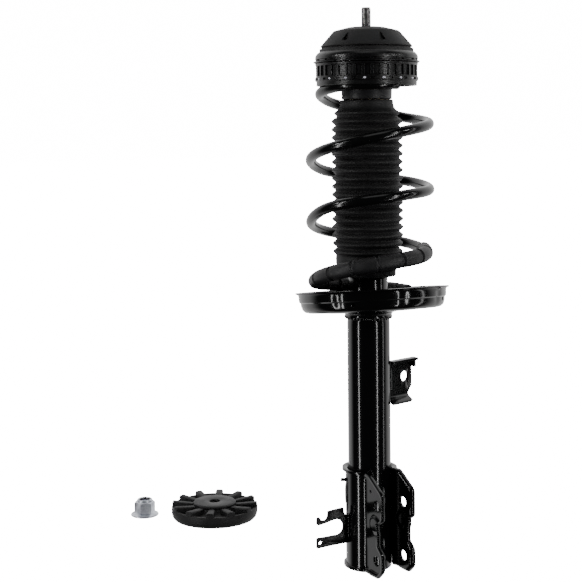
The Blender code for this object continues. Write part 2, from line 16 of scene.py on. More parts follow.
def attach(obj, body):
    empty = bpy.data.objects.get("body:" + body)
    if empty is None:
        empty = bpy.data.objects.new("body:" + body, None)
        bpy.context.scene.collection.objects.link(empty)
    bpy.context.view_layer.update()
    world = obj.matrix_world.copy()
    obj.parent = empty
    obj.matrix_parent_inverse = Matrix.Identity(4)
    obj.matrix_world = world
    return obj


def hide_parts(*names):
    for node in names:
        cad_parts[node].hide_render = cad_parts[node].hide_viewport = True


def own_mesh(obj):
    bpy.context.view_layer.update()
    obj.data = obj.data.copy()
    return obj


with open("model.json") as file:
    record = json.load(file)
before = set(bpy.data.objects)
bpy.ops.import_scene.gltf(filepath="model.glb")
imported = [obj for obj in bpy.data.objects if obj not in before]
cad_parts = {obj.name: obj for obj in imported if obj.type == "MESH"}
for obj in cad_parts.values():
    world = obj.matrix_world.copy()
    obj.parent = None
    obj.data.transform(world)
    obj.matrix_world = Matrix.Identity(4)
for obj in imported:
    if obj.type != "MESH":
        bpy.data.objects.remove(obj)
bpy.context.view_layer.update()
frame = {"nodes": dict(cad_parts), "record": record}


# ---------------------------------------------------------------- bench, light and camera
# A pale bench in a white room; neither throws light on the strut. Tall soft boxes in front draw
# bright lines down the tube, two small lamps put glints on the coils, and a wall lights the edges.

FACING = 55  # azimuth of the line of sight
EYE_HEIGHT = 0.52
EYE_DISTANCE = 1.5
HEADING = 3.47  # how far the strut stands to the right of the middle
ROLL = 0.45
LENS = 77.5
LENS_SHIFT = -0.275  # keeps the eye level while the strut's foot is in view
BENCH_HALF = 20


def across(distance, azimuth, z=0.0):
    """A point at a distance from the damper's axis."""
    return Vector((distance * cos(radians(azimuth)), distance * sin(radians(azimuth)), z))


bench = bmesh.new()
bmesh.ops.create_grid(bench, x_segments=1, y_segments=1, size=BENCH_HALF)
bmesh.ops.translate(bench, vec=(0, 0, -0.0002), verts=bench.verts)
bench_mesh = bpy.data.meshes.new("bench")
bench.to_mesh(bench_mesh)
bench.free()
floor_piece = bpy.data.objects.new("bench", bench_mesh)
bpy.context.scene.collection.objects.link(floor_piece)
for kind in ("diffuse", "glossy", "transmission", "shadow"):
    setattr(floor_piece, f"visible_{kind}", False)

camera = bpy.data.objects.new("camera", bpy.data.cameras.new("camera"))
bpy.context.scene.collection.objects.link(camera)
camera.data.lens = LENS
camera.data.shift_y = LENS_SHIFT
camera.matrix_world = (
    Matrix.Translation(across(-EYE_DISTANCE, FACING, EYE_HEIGHT))
    @ Matrix.Rotation(radians(FACING - 90 + HEADING), 4, "Z")
    @ Matrix.Rotation(radians(90), 4, "X")
    @ Matrix.Rotation(radians(-ROLL), 4, "Z")
)
bpy.context.scene.camera = camera


def soft_box(name, turn, distance, height, size, power):
    """An area light at an angle from the eye's side of the strut, that faces the strut."""
    lamp = bpy.data.lights.new(name, "AREA")
    lamp.shape = "RECTANGLE"
    lamp.size, lamp.size_y = size
    lamp.energy = power
    stand = bpy.data.objects.new(name, lamp)
    stand.location = across(distance, FACING + 180 + turn, height)
    aim = Vector((0, 0, 0.3)) - stand.location
    stand.rotation_euler = aim.to_track_quat("-Z", "Y").to_euler()
    stand.visible_camera = False
    bpy.context.scene.collection.objects.link(stand)


soft_box("left_box", -55, 2.0, 0.2, (0.10, 3.0), 18)
soft_box("right_box", 45, 2.0, 0.2, (0.07, 3.0), 15)
soft_box("side_box", 84, 2.0, 0.2, (0.12, 3.0), 5)
soft_box("top_box", 0, 0.8, 2.4, (1.2, 1.2), 3.6)
soft_box("left_lamp", -68, 1.6, 1.15, (0.16, 0.16), 2.6)
soft_box("right_lamp", 66, 1.6, 1.15, (0.16, 0.16), 2.6)


class Wire:
    """An output of a shader node that sums and products can be written with."""

    def __init__(self, finish, socket):
        self.finish = finish
        self.socket = socket

    def with_other(self, operation, other):
        return self.finish.node("ShaderNodeMath", {"operation": operation}, {0: self, 1: other})

    def __add__(self, other):
        return self.with_other("ADD", other)

    def __mul__(self, other):
        return self.with_other("MULTIPLY", other)

    def ramp(self, low, high):
        """0 below low, 1 above high and a smooth rise between them."""
        ends = {"Value": self, "From Min": low, "From Max": high}
        return self.finish.node("ShaderNodeMapRange", {"interpolation_type": "SMOOTHSTEP"}, ends)


class Finish:
    """A material whose fixed values sit on its Principled shader and whose pattern is added to it."""

    def __init__(self, name, **values):
        self.material = bpy.data.materials.new(name)
        self.material.use_nodes = True
        self.tree = self.material.node_tree
        self.shader = self.tree.nodes["Principled BSDF"]
        for socket, value in values.items():
            self.shader.inputs[socket.replace("_", " ")].default_value = value
        self.place = self.node("ShaderNodeTexCoord", output="Object")

    def node(self, kind, settings=None, sockets=None, output=0):
        made = self.tree.nodes.new(kind)
        for name, value in (settings or {}).items():
            setattr(made, name, value)
        for name, value in (sockets or {}).items():
            if isinstance(value, Wire):
                self.tree.links.new(value.socket, made.inputs[name])
            else:
                made.inputs[name].default_value = value
        return Wire(self, made.outputs[output])

    def noise(self, scale, detail=2.0, stretch=None, roughness=0.5):
        """Smooth noise; scale counts its lumps per metre."""
        place = self.place
        if stretch:
            place = self.node("ShaderNodeMapping", {}, {"Vector": place, "Scale": stretch})
        sockets = {"Vector": place, "Scale": scale, "Detail": detail, "Roughness": roughness}
        return self.node("ShaderNodeTexNoise", {}, sockets)

    def blend(self, share, first, second):
        """A colour between two colours."""
        made = self.tree.nodes.new("ShaderNodeMix")
        made.data_type = "RGBA"
        for index, value in ((0, share), (6, first), (7, second)):
            if isinstance(value, Wire):
                self.tree.links.new(value.socket, made.inputs[index])
            else:
                made.inputs[index].default_value = value
        return Wire(self, made.outputs[2])

    def feed(self, **wires):
        for socket, wire in wires.items():
            self.tree.links.new(wire.socket, self.shader.inputs[socket.replace("_", " ")])

    def bump(self, height, distance, strength=1.0):
        """Raises the surface by a height from 0 to 1, times a distance in metres."""
        sockets = {"Height": height, "Distance": distance, "Strength": strength}
        self.feed(Normal=self.node("ShaderNodeBump", {}, sockets))


def grey(value, blue=1.0):
    """A grey, or one whose blue is raised."""
    return (value, value, value * blue, 1)


room = bpy.data.worlds.new("room")
room.use_nodes = True
bpy.context.scene.world = room
sky = room.node_tree
sky.nodes.clear()


def sky_node(kind, settings=None, sockets=None):
    made = sky.nodes.new(kind)
    for name, value in (settings or {}).items():
        setattr(made, name, value)
    for name, value in (sockets or {}).items():
        if isinstance(value, bpy.types.NodeSocket):
            sky.links.new(value, made.inputs[name])
        else:
            made.inputs[name].default_value = value
    return made


WALL_EDGES = (64, 88)  # the wall's glow fades between these angles off the line of sight
ROOM_GLOW = 0.02
WALL_GLOW = 1.5
BACKDROP = 20.0
direction = sky_node("ShaderNodeTexCoord").outputs["Generated"]
ahead = across(1, FACING)
facing = sky_node("ShaderNodeVectorMath", {"operation": "DOT_PRODUCT"}, {0: direction, 1: ahead})
wall = sky_node(
    "ShaderNodeMapRange", {"interpolation_type": "SMOOTHSTEP"},
    {
        "Value": facing.outputs["Value"],
        "From Min": cos(radians(WALL_EDGES[1])), "From Max": cos(radians(WALL_EDGES[0])),
        "To Min": ROOM_GLOW, "To Max": WALL_GLOW,
    },
)
glow = sky_node("ShaderNodeBackground", {}, {"Strength": wall.outputs[0]})
seen = sky_node("ShaderNodeBackground", {}, {"Strength": BACKDROP})
looking = sky_node("ShaderNodeLightPath").outputs["Is Camera Ray"]
either = sky_node(
    "ShaderNodeMixShader", {}, {0: looking, 1: glow.outputs[0], 2: seen.outputs[0]}
)
sky_node("ShaderNodeOutputWorld", {}, {"Surface": either.outputs[0]})

bench_paint = Finish("bench_paint", Base_Color=grey(0.05), Roughness=0.6)
bench_paint.bump(bench_paint.noise(180, 3), 0.0002, 0.3)
bench_glow = bench_paint.node("ShaderNodeEmission", {}, {"Strength": BACKDROP})
bench_seen = bench_paint.node("ShaderNodeLightPath", output="Is Camera Ray")
bench_lit = Wire(bench_paint, bench_paint.shader.outputs[0])
bench_mix = bench_paint.node(
    "ShaderNodeMixShader", {}, {0: bench_seen, 1: bench_lit, 2: bench_glow}
)
bench_out = bench_paint.tree.nodes["Material Output"]
bench_paint.tree.links.new(bench_mix.socket, bench_out.inputs["Surface"])
floor_piece.data.materials.append(bench_paint.material)


# ---------------------------------------------------------------- strut tube
# A drawn steel tube, swaged to a narrower neck above the spring seat and rolled in at its foot,
# where a pressed plug is welded. It is dipped in gloss black paint after welding.

TUBE_R = 25.5
NECK_R = 23.2
TUBE_WALL = 2.2


def lathe(profile, steps=128, ring=True):
    """Spins an (r, z) outline round the damper's axis. One that starts on the axis isn't a ring."""
    bm = bmesh.new()
    verts = [bm.verts.new((r, 0, z)) for r, z in profile]
    pairs = list(zip(verts, verts[1:])) + ([(verts[-1], verts[0])] if ring else [])
    line = verts + [bm.edges.new(pair) for pair in pairs]
    bmesh.ops.spin(
        bm, geom=line, cent=(0, 0, 0), axis=(0, 0, 1), dvec=(0, 0, 0), angle=2 * pi,
        steps=steps, use_merge=True,
    )
    bmesh.ops.remove_doubles(bm, verts=bm.verts, dist=0.001)
    bmesh.ops.recalc_face_normals(bm, faces=bm.faces)
    return bm


def soften(bm, width, sharper_than=28, segments=2):
    """Rounds every edge that is sharper than an angle."""
    edges = [e for e in bm.edges if e.is_manifold and e.calc_face_angle() > radians(sharper_than)]
    bmesh.ops.bevel(
        bm, geom=edges, offset=width, segments=segments, profile=0.5, affect="EDGES",
        clamp_overlap=True, material=-1,
    )
    return bm


def moved(bm, azimuth=0, at=(0, 0, 0)):
    """Turns a shape about the upright axis and then moves it."""
    matrix = Matrix.Translation(at) @ Matrix.Rotation(radians(azimuth), 4, "Z")
    bmesh.ops.transform(bm, matrix=matrix, verts=bm.verts)
    return bm


def as_mesh(bm, name):
    """Turns a shape into mesh data and frees the shape."""
    mesh = bpy.data.meshes.new(name)
    bm.to_mesh(mesh)
    bm.free()
    return mesh


def joined(bm, operation, *others, sheet=0):
    """Cuts the other shapes out of a shape, or joins them on. A bare surface first gets a wall."""
    block = bpy.data.objects.new("block", as_mesh(bm, "block"))
    bpy.context.scene.collection.objects.link(block)
    helpers = []
    if sheet:
        wall = block.modifiers.new("wall", "SOLIDIFY")
        wall.thickness = sheet
        wall.offset = 0
        wall.use_even_offset = True
    for other in others:
        helper = bpy.data.objects.new("helper", as_mesh(other, "helper"))
        bpy.context.scene.collection.objects.link(helper)
        modifier = block.modifiers.new("join", "BOOLEAN")
        modifier.object = helper
        modifier.operation = operation
        helpers.append(helper)
    graph = bpy.context.evaluated_depsgraph_get()
    result = bmesh.new()
    result.from_mesh(block.evaluated_get(graph).to_mesh())
    for used in [block, *helpers]:
        bpy.data.objects.remove(used)
    return result


def piece(bm, name, finish, body, slot, *nodes, smooth_below=38):
    """Sets a shape down as one finished piece that rides on a body in place of CAD nodes."""
    bmesh.ops.scale(bm, vec=(0.001, 0.001, 0.001), verts=bm.verts)
    mesh = as_mesh(bm, name)
    mesh.shade_smooth()
    mesh.set_sharp_from_angle(angle=radians(smooth_below))
    mesh.materials.append(finish.material)
    obj = bpy.data.objects.new(name, mesh)
    bpy.context.scene.collection.objects.link(obj)
    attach(obj, body)
    if nodes:
        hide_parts(*nodes)
    return obj


def black_paint(name, peel=1.0, dust=0.5, roughness=0.13, specular=0.5):
    """Gloss black paint: faint orange peel, a hazy film of dust and a few specks in the coat."""
    finish = Finish(name, Specular_IOR_Level=specular)
    film = finish.noise(26, 5).ramp(0.46, 0.78)
    patches = finish.noise(240, 4, roughness=0.65).ramp(0.55, 0.85)
    specks = finish.noise(2600, 1).ramp(0.74, 0.8)
    haze = film * patches * dust
    finish.feed(
        Base_Color=finish.blend(haze * 0.5 + specks * 0.2, grey(0.0035, 1.1), grey(0.05, 1.05)),
        Roughness=haze * 0.22 + specks * 0.2 + roughness,
    )
    peel_height = finish.noise(520, 2) + finish.noise(95, 2) * 1.6 + specks * 0.4
    finish.bump(peel_height, 0.00005 * peel, 0.6)
    return finish


tube_paint = black_paint("tube_paint", peel=0.22)
inner = TUBE_R - TUBE_WALL
tube = lathe(
    [
        (inner - 0.6, 1), (24.3, 0.9), (25.1, 1.5), (TUBE_R, 2.8), (TUBE_R, 291), (25.2, 293.5),
        (24.4, 297), (23.5, 300.6), (NECK_R, 303), (NECK_R, 359.2), (22.6, 360), (21.2, 360),
        (21.0, 302), (inner, 291), (inner, 4),
    ],
    160,
)
piece(tube, "tube", tube_paint, "strut", "black_paint", "strut_tube")

plug = lathe(
    [(0, 0.1), (17, 0.1), (20.5, 0.4), (22.4, 1.4), (22.9, 3), (22.9, 9), (20, 9), (18, 5), (0, 5)],
    96, ring=False,
)
piece(soften(plug, 0.4), "tube_plug", black_paint("plug_paint", dust=0.9), "strut", "black_paint",
      "tube_base")


# ---------------------------------------------------------------- lower spring seat
# A deep-drawn steel pan with a collar that is welded to the tube. It is offset and tilted towards
# the wheel; its wall has a step and shallow flutes, and its rim a turned-out lip and two dips.

SEAT_RIM_R = 91.8
SEAT_RIM_Z = 330.5
SEAT_TILT = 7.2
SEAT_HIGH_AZIMUTH = -100
SEAT_OFFSET = across(4.3, -35)
SEAT_DRAINS = (-62, 62, 178)
SEAT_FLUTES = (-152, -127, -100, -64, -20, 20, 100)
SEAT_WALL_HOLES = ((-52, -15), (-140, -16))  # azimuth and height
DRAIN_R = 4.5
WALL_HOLE_R = 2.4


def smooth_step(low, high, value):
    """0 below low, 1 above high and a smooth rise between them."""
    share = min(1, max(0, (value - low) / (high - low)))
    return share * share * (3 - 2 * share)


def bump_round(azimuth, middle, half_width):
    """1 at an azimuth and 0 beyond a half width to each side of it."""
    away = abs((azimuth - middle + 180) % 360 - 180)
    return 1 - smooth_step(0, half_width, away)


def seat_matrix():
    """Tilts and lifts the pan, which is drawn level with its rim at zero height."""
    axis = across(1, SEAT_HIGH_AZIMUTH).cross(Vector((0, 0, 1)))
    lift = Vector((0, 0, SEAT_RIM_Z))
    return Matrix.Translation(SEAT_OFFSET + lift) @ Matrix.Rotation(radians(SEAT_TILT), 4, axis)


collar = TUBE_R + 0.3
seat = lathe(
    [
        (collar, -31.6), (27.6, -32), (28.3, -31.4), (28.3, -29.4), (29.2, -27.4), (32, -25.8),
        (37, -25), (44, -25), (47, -26.2), (56, -26.2), (59, -25), (77, -25), (81, -24), (84, -21.4),
        (85.6, -17), (86.1, -13), (87.7, -11.6), (88.1, -9), (88.3, -4.5), (89, -2.9), (91.4, -2.1),
        (SEAT_RIM_R, -1.2), (91.4, -0.2), (87.2, 0), (85.9, -1.2), (85.7, -9), (84.6, -11),
        (83.6, -16), (81.6, -20), (78.6, -22.4), (59, -22.5), (56, -23.7), (47, -23.7), (44, -22.5),
        (37, -22.5), (33, -23.6), (31, -26), (collar, -28.4),
    ],
    180,
)
pan = seat_matrix()
for vert in seat.verts:
    reach = Vector((vert.co.x, vert.co.y)).length
    azimuth = degrees(atan2(vert.co.y, vert.co.x))
    if reach > 79:
        flute = max(bump_round(azimuth, middle, 5) for middle in SEAT_FLUTES)
        ledge = smooth_step(-24, -14, vert.co.z) * (1 - smooth_step(-4, -1, vert.co.z))
        swell = bump_round(azimuth, -80, 60)
        vert.co -= across(0.9 * flute * ledge * (reach > 83) + 0.5 * swell * ledge, azimuth)
    if reach > 84 and vert.co.z > -4:
        vert.co.z -= 2.6 * bump_round(azimuth, -66.5, 3.4) + 1.6 * bump_round(azimuth, 130, 4)
    share = smooth_step(0, 1, (reach - 29.5) / 16)
    upright = vert.co + Vector((0, 0, SEAT_RIM_Z))
    vert.co = upright.lerp(pan @ vert.co, share)
holes = []
for azimuth in SEAT_DRAINS:
    hole = bmesh.new()
    bmesh.ops.create_cone(
        hole, cap_ends=True, segments=32, radius1=DRAIN_R, radius2=DRAIN_R, depth=30
    )
    bmesh.ops.translate(hole, vec=pan @ across(68, azimuth, -24), verts=hole.verts)
    holes.append(hole)
for azimuth, z in SEAT_WALL_HOLES:
    hole = bmesh.new()
    lying = Matrix.Rotation(radians(azimuth), 4, "Z") @ Matrix.Rotation(radians(90), 4, "Y")
    bmesh.ops.create_cone(
        hole, cap_ends=True, segments=28, radius1=WALL_HOLE_R, radius2=WALL_HOLE_R, depth=16,
        matrix=Matrix.Translation(pan @ across(85, azimuth, z)) @ lying,
    )
    holes.append(hole)
seat = joined(seat, "DIFFERENCE", *holes)
seat_paint = black_paint("seat_paint", peel=0.4, dust=0.9)
piece(seat, "spring_seat", seat_paint, "strut", "black_paint", "lower_spring_seat")


# ---------------------------------------------------------------- knuckle bracket
# One sheet of 3 mm steel, pressed round the back of the tube with two flanges that the knuckle's
# lug is bolted between. Its whole edge is turned out in a lip, and its bends are rounded.

SHEET = 3
WRAP_R = 27.4
WRAP_FOOT_Z = 6
WRAP_TOP_Z = 115
FLANGE_HALF_GAP = 19
FLANGE_TIP = 54
FLANGE_WAIST = 9
BOLTS = (21, 84)
BOLT_U = 42
BOLT_R = 6.1
BOSS = (39, 62)
CURL_R = 2.2
FLANGE_LIP = 5.0
WRAP_LIPS = (4.2, 5.4)  # at the foot and at the top
KNUCKLE_AZIMUTH = -90


def flange_reach(z):
    """How far the flanges reach from the axis: a lobe round each bolt, with a waist between."""
    waist = smooth_step(28, 40, z) * (1 - smooth_step(65, 73, z))
    corners = 8 * (1 - smooth_step(4, 15, z)) + 3 * smooth_step(97, 102, z)
    return FLANGE_TIP - FLANGE_WAIST * waist - corners


def flange_ends(u):
    """Heights of the flanges' lower and upper edges; the upper one slopes down."""
    low = 6.4 + 0.8 * smooth_step(18, 27, u) - 0.8 * smooth_step(30, 42, u)
    return low, WRAP_TOP_Z - max(0, u - 31) * 0.61


root_u = sqrt(WRAP_R**2 - FLANGE_HALF_GAP**2)
bend = degrees(acos(root_u / WRAP_R))
flange_shares = [1 - step / 22 for step in range(23)]
wrap_steps = 60
plan = [(share, -1) for share in flange_shares]
plan += [(-bend - step * (360 - 2 * bend) / wrap_steps, 0) for step in range(1, wrap_steps)]
plan += [(share, 1) for share in reversed(flange_shares)]
rows = 80
bracket = bmesh.new()
bmesh.ops.create_grid(bracket, x_segments=len(plan) - 1, y_segments=rows, size=0.5)
way_of = {}


def lean(way, side, from_fold):
    """Leans a lip's way towards the middle of the fold near it, so that the lips don't cross."""
    middle = (Vector((0, side, 0)) + across(1, side * bend)).normalized()
    return way.lerp(middle, max(0, 1 - from_fold / 8)).normalized()


for vert in bracket.verts:
    value, side = plan[round((vert.co.x + 0.5) * (len(plan) - 1))]
    height = vert.co.y + 0.5
    if side:
        low, high = flange_ends(root_u + value * (FLANGE_TIP - root_u))
        z = low + height * (high - low)
        u = root_u + value * (flange_reach(z) - root_u)
        boss = 1.2 * (1 - smooth_step(7.5, 10.5, sqrt((u - BOSS[0]) ** 2 + (z - BOSS[1]) ** 2)))
        vert.co = Vector((u, side * (FLANGE_HALF_GAP + boss), z))
        way, lip = lean(Vector((0, side, 0)), side, u - root_u), FLANGE_LIP
    else:
        vert.co = across(WRAP_R, value, WRAP_FOOT_Z + height * (WRAP_TOP_Z - WRAP_FOOT_Z))
        turned, left = -bend - value, value + 360 - bend
        from_fold = WRAP_R * radians(min(turned, left))
        way = lean(across(1, value), -1 if turned < left else 1, from_fold)
        lip = WRAP_LIPS[height > 0.5]
    way_of[vert.co.copy().freeze()] = (way, lip)


def turn_lip(bm, fold_r, way_of):
    """Turns a sheet's free edge out in a lip: a quarter bend of the fold's radius and a straight."""
    rim = [edge for edge in bm.edges if edge.is_boundary]
    start = {}
    for vert in {v for edge in rim for v in edge.verts}:
        along = [e.other_vert(vert).co for e in vert.link_edges if e.is_boundary]
        way, length = way_of[vert.co.copy().freeze()]
        beyond = (along[0] - along[1]).cross(way).normalized()
        inward = vert.link_faces[0].calc_center_median() - vert.co
        if beyond.dot(inward) > 0:
            beyond.negate()
        start[vert] = (vert.co.copy(), way, beyond, length)
    steps = [(radians(turn), 0) for turn in (22, 45, 68, 90)] + [(radians(90), 1)]
    last = {vert: vert for vert in start}
    for turn, straight in steps:
        grown = bmesh.ops.extrude_edge_only(bm, edges=rim)["geom"]
        new = [part for part in grown if isinstance(part, bmesh.types.BMVert)]
        old_at = {last[vert].co.copy().freeze(): vert for vert in start}
        for vert in new:
            source = old_at[vert.co.copy().freeze()]
            point, way, beyond, length = start[source]
            reach = fold_r * (1 - cos(turn)) + straight * (length - fold_r)
            vert.co = point + beyond * fold_r * sin(turn) + way * reach
            last[source] = vert
        rim = [e for e in grown if isinstance(e, bmesh.types.BMEdge) and all(v in new for v in e.verts)]


near_fold = [
    vert for vert in bracket.verts
    if abs(abs(vert.co.y) - FLANGE_HALF_GAP) < 3.5 and abs(vert.co.x - root_u) < 5
    and WRAP_FOOT_Z + 3 < vert.co.z < WRAP_TOP_Z - 4
]
turn_lip(bracket, CURL_R, way_of)
for _ in range(8):
    bmesh.ops.smooth_vert(bracket, verts=near_fold, factor=0.5, use_axis_x=True, use_axis_y=True)
bmesh.ops.recalc_face_normals(bracket, faces=bracket.faces)


def pin(radius, start, end, steps=40):
    """A round bar between two points."""
    bm = bmesh.new()
    way = Vector(end) - Vector(start)
    matrix = Matrix.Translation((Vector(start) + Vector(end)) / 2)
    bmesh.ops.create_cone(
        bm, cap_ends=True, segments=steps, radius1=radius, radius2=radius, depth=way.length,
        matrix=matrix @ way.to_track_quat("Z", "Y").to_matrix().to_4x4(),
    )
    return bm


drills = [pin(BOLT_R, (BOLT_U, -40, z), (BOLT_U, 40, z), 48) for z in BOLTS]
drills.append(pin(2, (31, -40, 99), (31, 0, 99), 24))
bracket = joined(bracket, "DIFFERENCE", *drills, sheet=SHEET)
soften(bracket, 0.45, 55, 2)
bracket_paint = black_paint("bracket_paint", peel=0.35, dust=0.9)
piece(moved(bracket, KNUCKLE_AZIMUTH), "bracket", bracket_paint, "strut", "black_paint",
      "knuckle_bracket")

LEAD_AZIMUTH = 152
lead_pad = bmesh.new()
bmesh.ops.create_uvsphere(lead_pad, u_segments=40, v_segments=24, radius=1)
for vert in lead_pad.verts:
    side, up = vert.co.y * 6.5, vert.co.z * 12.5
    proud = WRAP_R + SHEET / 2 + 1.1 * vert.co.x
    vert.co = across(proud, degrees(side / WRAP_R), 87.5 + up)
piece(moved(lead_pad, LEAD_AZIMUTH), "lead_pad", bracket_paint, "strut", "black_paint")
lead_peg = pin(2.1, (WRAP_R - 1, 0, 103.5), (WRAP_R + 7.5, 0, 103.5), 28)
soften(lead_peg, 0.6, 50, 3)
piece(moved(lead_peg, LEAD_AZIMUTH), "lead_peg", bracket_paint, "strut", "black_paint")


# ---------------------------------------------------------------- stabiliser link bracket
# A 3 mm pressing, folded into a shallow pan whose web stands beside the tube's axis. Two welds hold
# it to the tube, and the link's ball stud is bolted through its hole.

LINK_AZIMUTH = 10
LINK_WEB = -12
LINK_REACH = 61.5
LINK_Z = (192.5, 244.5)
LINK_ROOT = 16
LINK_STEPS = 20
LINK_HOLE = (47.5, 222)
LINK_HOLE_R = 6.3


def arc(centre, radius, start, end, steps):
    """Points of an arc, as pairs."""
    turns = [radians(start + (end - start) * step / steps) for step in range(steps + 1)]
    return [(centre[0] + radius * cos(t), centre[1] + radius * sin(t)) for t in turns]


def grow(bm, edges, shift):
    """Extrudes a row of edges by a shift and returns the row's new place."""
    grown = bmesh.ops.extrude_edge_only(bm, edges=edges)["geom"]
    fresh = [part for part in grown if isinstance(part, bmesh.types.BMVert)]
    bmesh.ops.translate(bm, vec=shift, verts=fresh)
    return [
        e for e in grown if isinstance(e, bmesh.types.BMEdge) and all(v in fresh for v in e.verts)
    ]


def prism(points, way):
    """A block with straight sides, whose end has the points as its outline."""
    bm = bmesh.new()
    face = bm.faces.new([bm.verts.new(point) for point in points])
    grown = bmesh.ops.extrude_face_region(bm, geom=[face])["geom"]
    fresh = [part for part in grown if isinstance(part, bmesh.types.BMVert)]
    bmesh.ops.translate(bm, vec=way, verts=fresh)
    bmesh.ops.recalc_face_normals(bm, faces=bm.faces)
    return bm


low, high = LINK_Z
section = [(-13, low + 1.4)]
section += [(-5, low + 4.6), (-2.2, low + 6), (-0.6, low + 7.8), (0, low + 10)]
section += [(0, high - 12), (0, high - 6)] + arc((-4.2, high - 5.7), 4.2, 0, 90, 6)
section += [(-8, high - 1.5), (-13, high - 1.5)]
sheet = bmesh.new()
line = [sheet.verts.new((LINK_ROOT, v, z)) for v, z in section]
edges = [sheet.edges.new(pair) for pair in zip(line, line[1:])]
for _ in range(LINK_STEPS):
    edges = grow(sheet, edges, ((LINK_REACH - SHEET / 2 - LINK_ROOT) / LINK_STEPS, 0, 0))
tip = [e for e in edges if all(low + 18 < v.co.z < high - 1 and v.co.y > -4.5 for v in e.verts)]
for shift in ((0.4, -0.3, 0), (0.4, -0.9, 0), (0.2, -1.3, 0), (0, -4, 0)):
    tip = grow(sheet, tip, shift)
bmesh.ops.recalc_face_normals(sheet, faces=sheet.faces)
bmesh.ops.translate(sheet, vec=(0, LINK_WEB, 0), verts=sheet.verts)
cut_away = [(43, -6), (75, -6), (75, 19), (62, 19), (57, 14)]
corner = prism([(u, -40, low + z) for u, z in cut_away], (0, 60, 0))
hole_u, hole_z = LINK_HOLE
link = joined(
    sheet, "DIFFERENCE", corner, pin(TUBE_R + 0.15, (0, 0, 150), (0, 0, 290), 160),
    pin(LINK_HOLE_R, (hole_u, -40, hole_z), (hole_u, 10, hole_z), 48), sheet=SHEET,
)
soften(link, 0.5, 50, 2)
link_paint = black_paint("link_paint", peel=1.2, dust=1.0)
piece(moved(link, LINK_AZIMUTH), "link_plate", link_paint, "strut", "black_paint", "link_bracket")

weld_paint = black_paint("weld_paint", peel=3, dust=0.6)


def weld_bead(name, points, radius):
    """A run of overlapping ripples of weld metal under the paint."""
    bm = bmesh.new()
    for number, point in enumerate(points):
        swell = radius * (1 + 0.08 * sin(number * 2.4) + 0.05 * sin(number * 5.3))
        bmesh.ops.create_icosphere(bm, subdivisions=3, radius=swell, matrix=Matrix.Translation(point))
    piece(bm, name, weld_paint, "strut", "black_paint")


web_bend = degrees(atan2(LINK_WEB, sqrt(TUBE_R**2 - LINK_WEB**2)))
for side, beside_web, ripples in (("back", 5.5, 18), ("front", -5.5, 16)):
    azimuth = LINK_AZIMUTH + web_bend + beside_web
    run = [across(TUBE_R + 0.6, azimuth, 210 + 1.6 * n) for n in range(ripples)]
    weld_bead(f"link_weld_{side}", run, 2)
SEAT_WELD_RIPPLES = 40
run = [across(26.3, n * 360 / SEAT_WELD_RIPPLES, 298.2) for n in range(SEAT_WELD_RIPPLES)]
weld_bead("seat_weld", run, 2.4)


# ---------------------------------------------------------------- brake hose bracket
# A 3 mm blank welded upright to the knuckle bracket's wrap: a fork that the hose's fitting slides
# into, a notch for the sensor lead, and a hole for its clip.

HOSE_AZIMUTH = 172
outline = [(27, 32), (50, 31.2), (69.2, 30)] + arc((69.3, 31.4), 1.3, -80, 0, 3)
outline += [(70.6, 40)] + arc((68.8, 40.4), 1.8, 0, 80, 4)
outline += [(58, 42.4), (49, 42.8)] + arc((45.5, 52), 9.3, -82, -278, 22)
outline += [(50, 60.6), (58, 58.7), (66, 57.2)] + arc((67.9, 59.6), 2.6, -80, 0, 4)
outline += arc((67.8, 63.9), 2.5, 0, 120, 6) + arc((61.4, 66.6), 4.8, -15, -165, 12)
outline += [(56.0, 69.5)] + arc((55.2, 71.3), 0.9, -10, 100, 4)
outline += [(46, 73.2), (38, 74)] + arc((36.6, 72.8), 1.3, 85, 180, 4)
outline += [(35, 69), (34, 66.6), (32, 65.4), (27, 65)]
blank = prism([(u, -SHEET / 2, z) for u, z in outline], (0, SHEET, 0))
blank = joined(
    blank, "DIFFERENCE", pin(2.2, (66, -10, 36), (66, 10, 36), 28),
    pin(WRAP_R + SHEET / 2 + 0.05, (0, 0, -20), (0, 0, 140), 160),
)
soften(blank, 0.45, 50, 2)
hose_paint = black_paint("hose_paint", peel=0.3, dust=0.7, roughness=0.3, specular=0.22)
piece(moved(blank, HOSE_AZIMUTH), "hose_fork", hose_paint, "strut", "black_paint", "hose_bracket")
run = [
    across(WRAP_R + SHEET / 2 + 0.3, HOSE_AZIMUTH + side * 4.6, 39 + 1.7 * n)
    for side in (-1, 1) for n in range(16)
]
weld_bead("hose_weld", run, 1.7)


# ---------------------------------------------------------------- coil spring
# Cold-wound spring steel wire, right-handed, with a powder coat a little duller than the paint. Its
# coils grow wider above the seat and draw in again under the top mount.

WIRE_R = 6.3
WIRE_SIDES = 28
COIL_R = 65.5
CLIMB = (  # azimuth and height of the wire's centre
    (-5, 320), (55, 325), (145, 340), (193, 355), (235, 366), (272, 371), (325, 375), (369, 380.5),
    (456, 394), (505, 410), (558, 433), (626, 445), (685, 450), (731, 456.5), (819, 469),
    (865, 484), (918, 501), (986, 518), (1045, 528), (1091, 535), (1178, 553), (1225, 564),
    (1285, 572.4), (1360, 573.8),
)


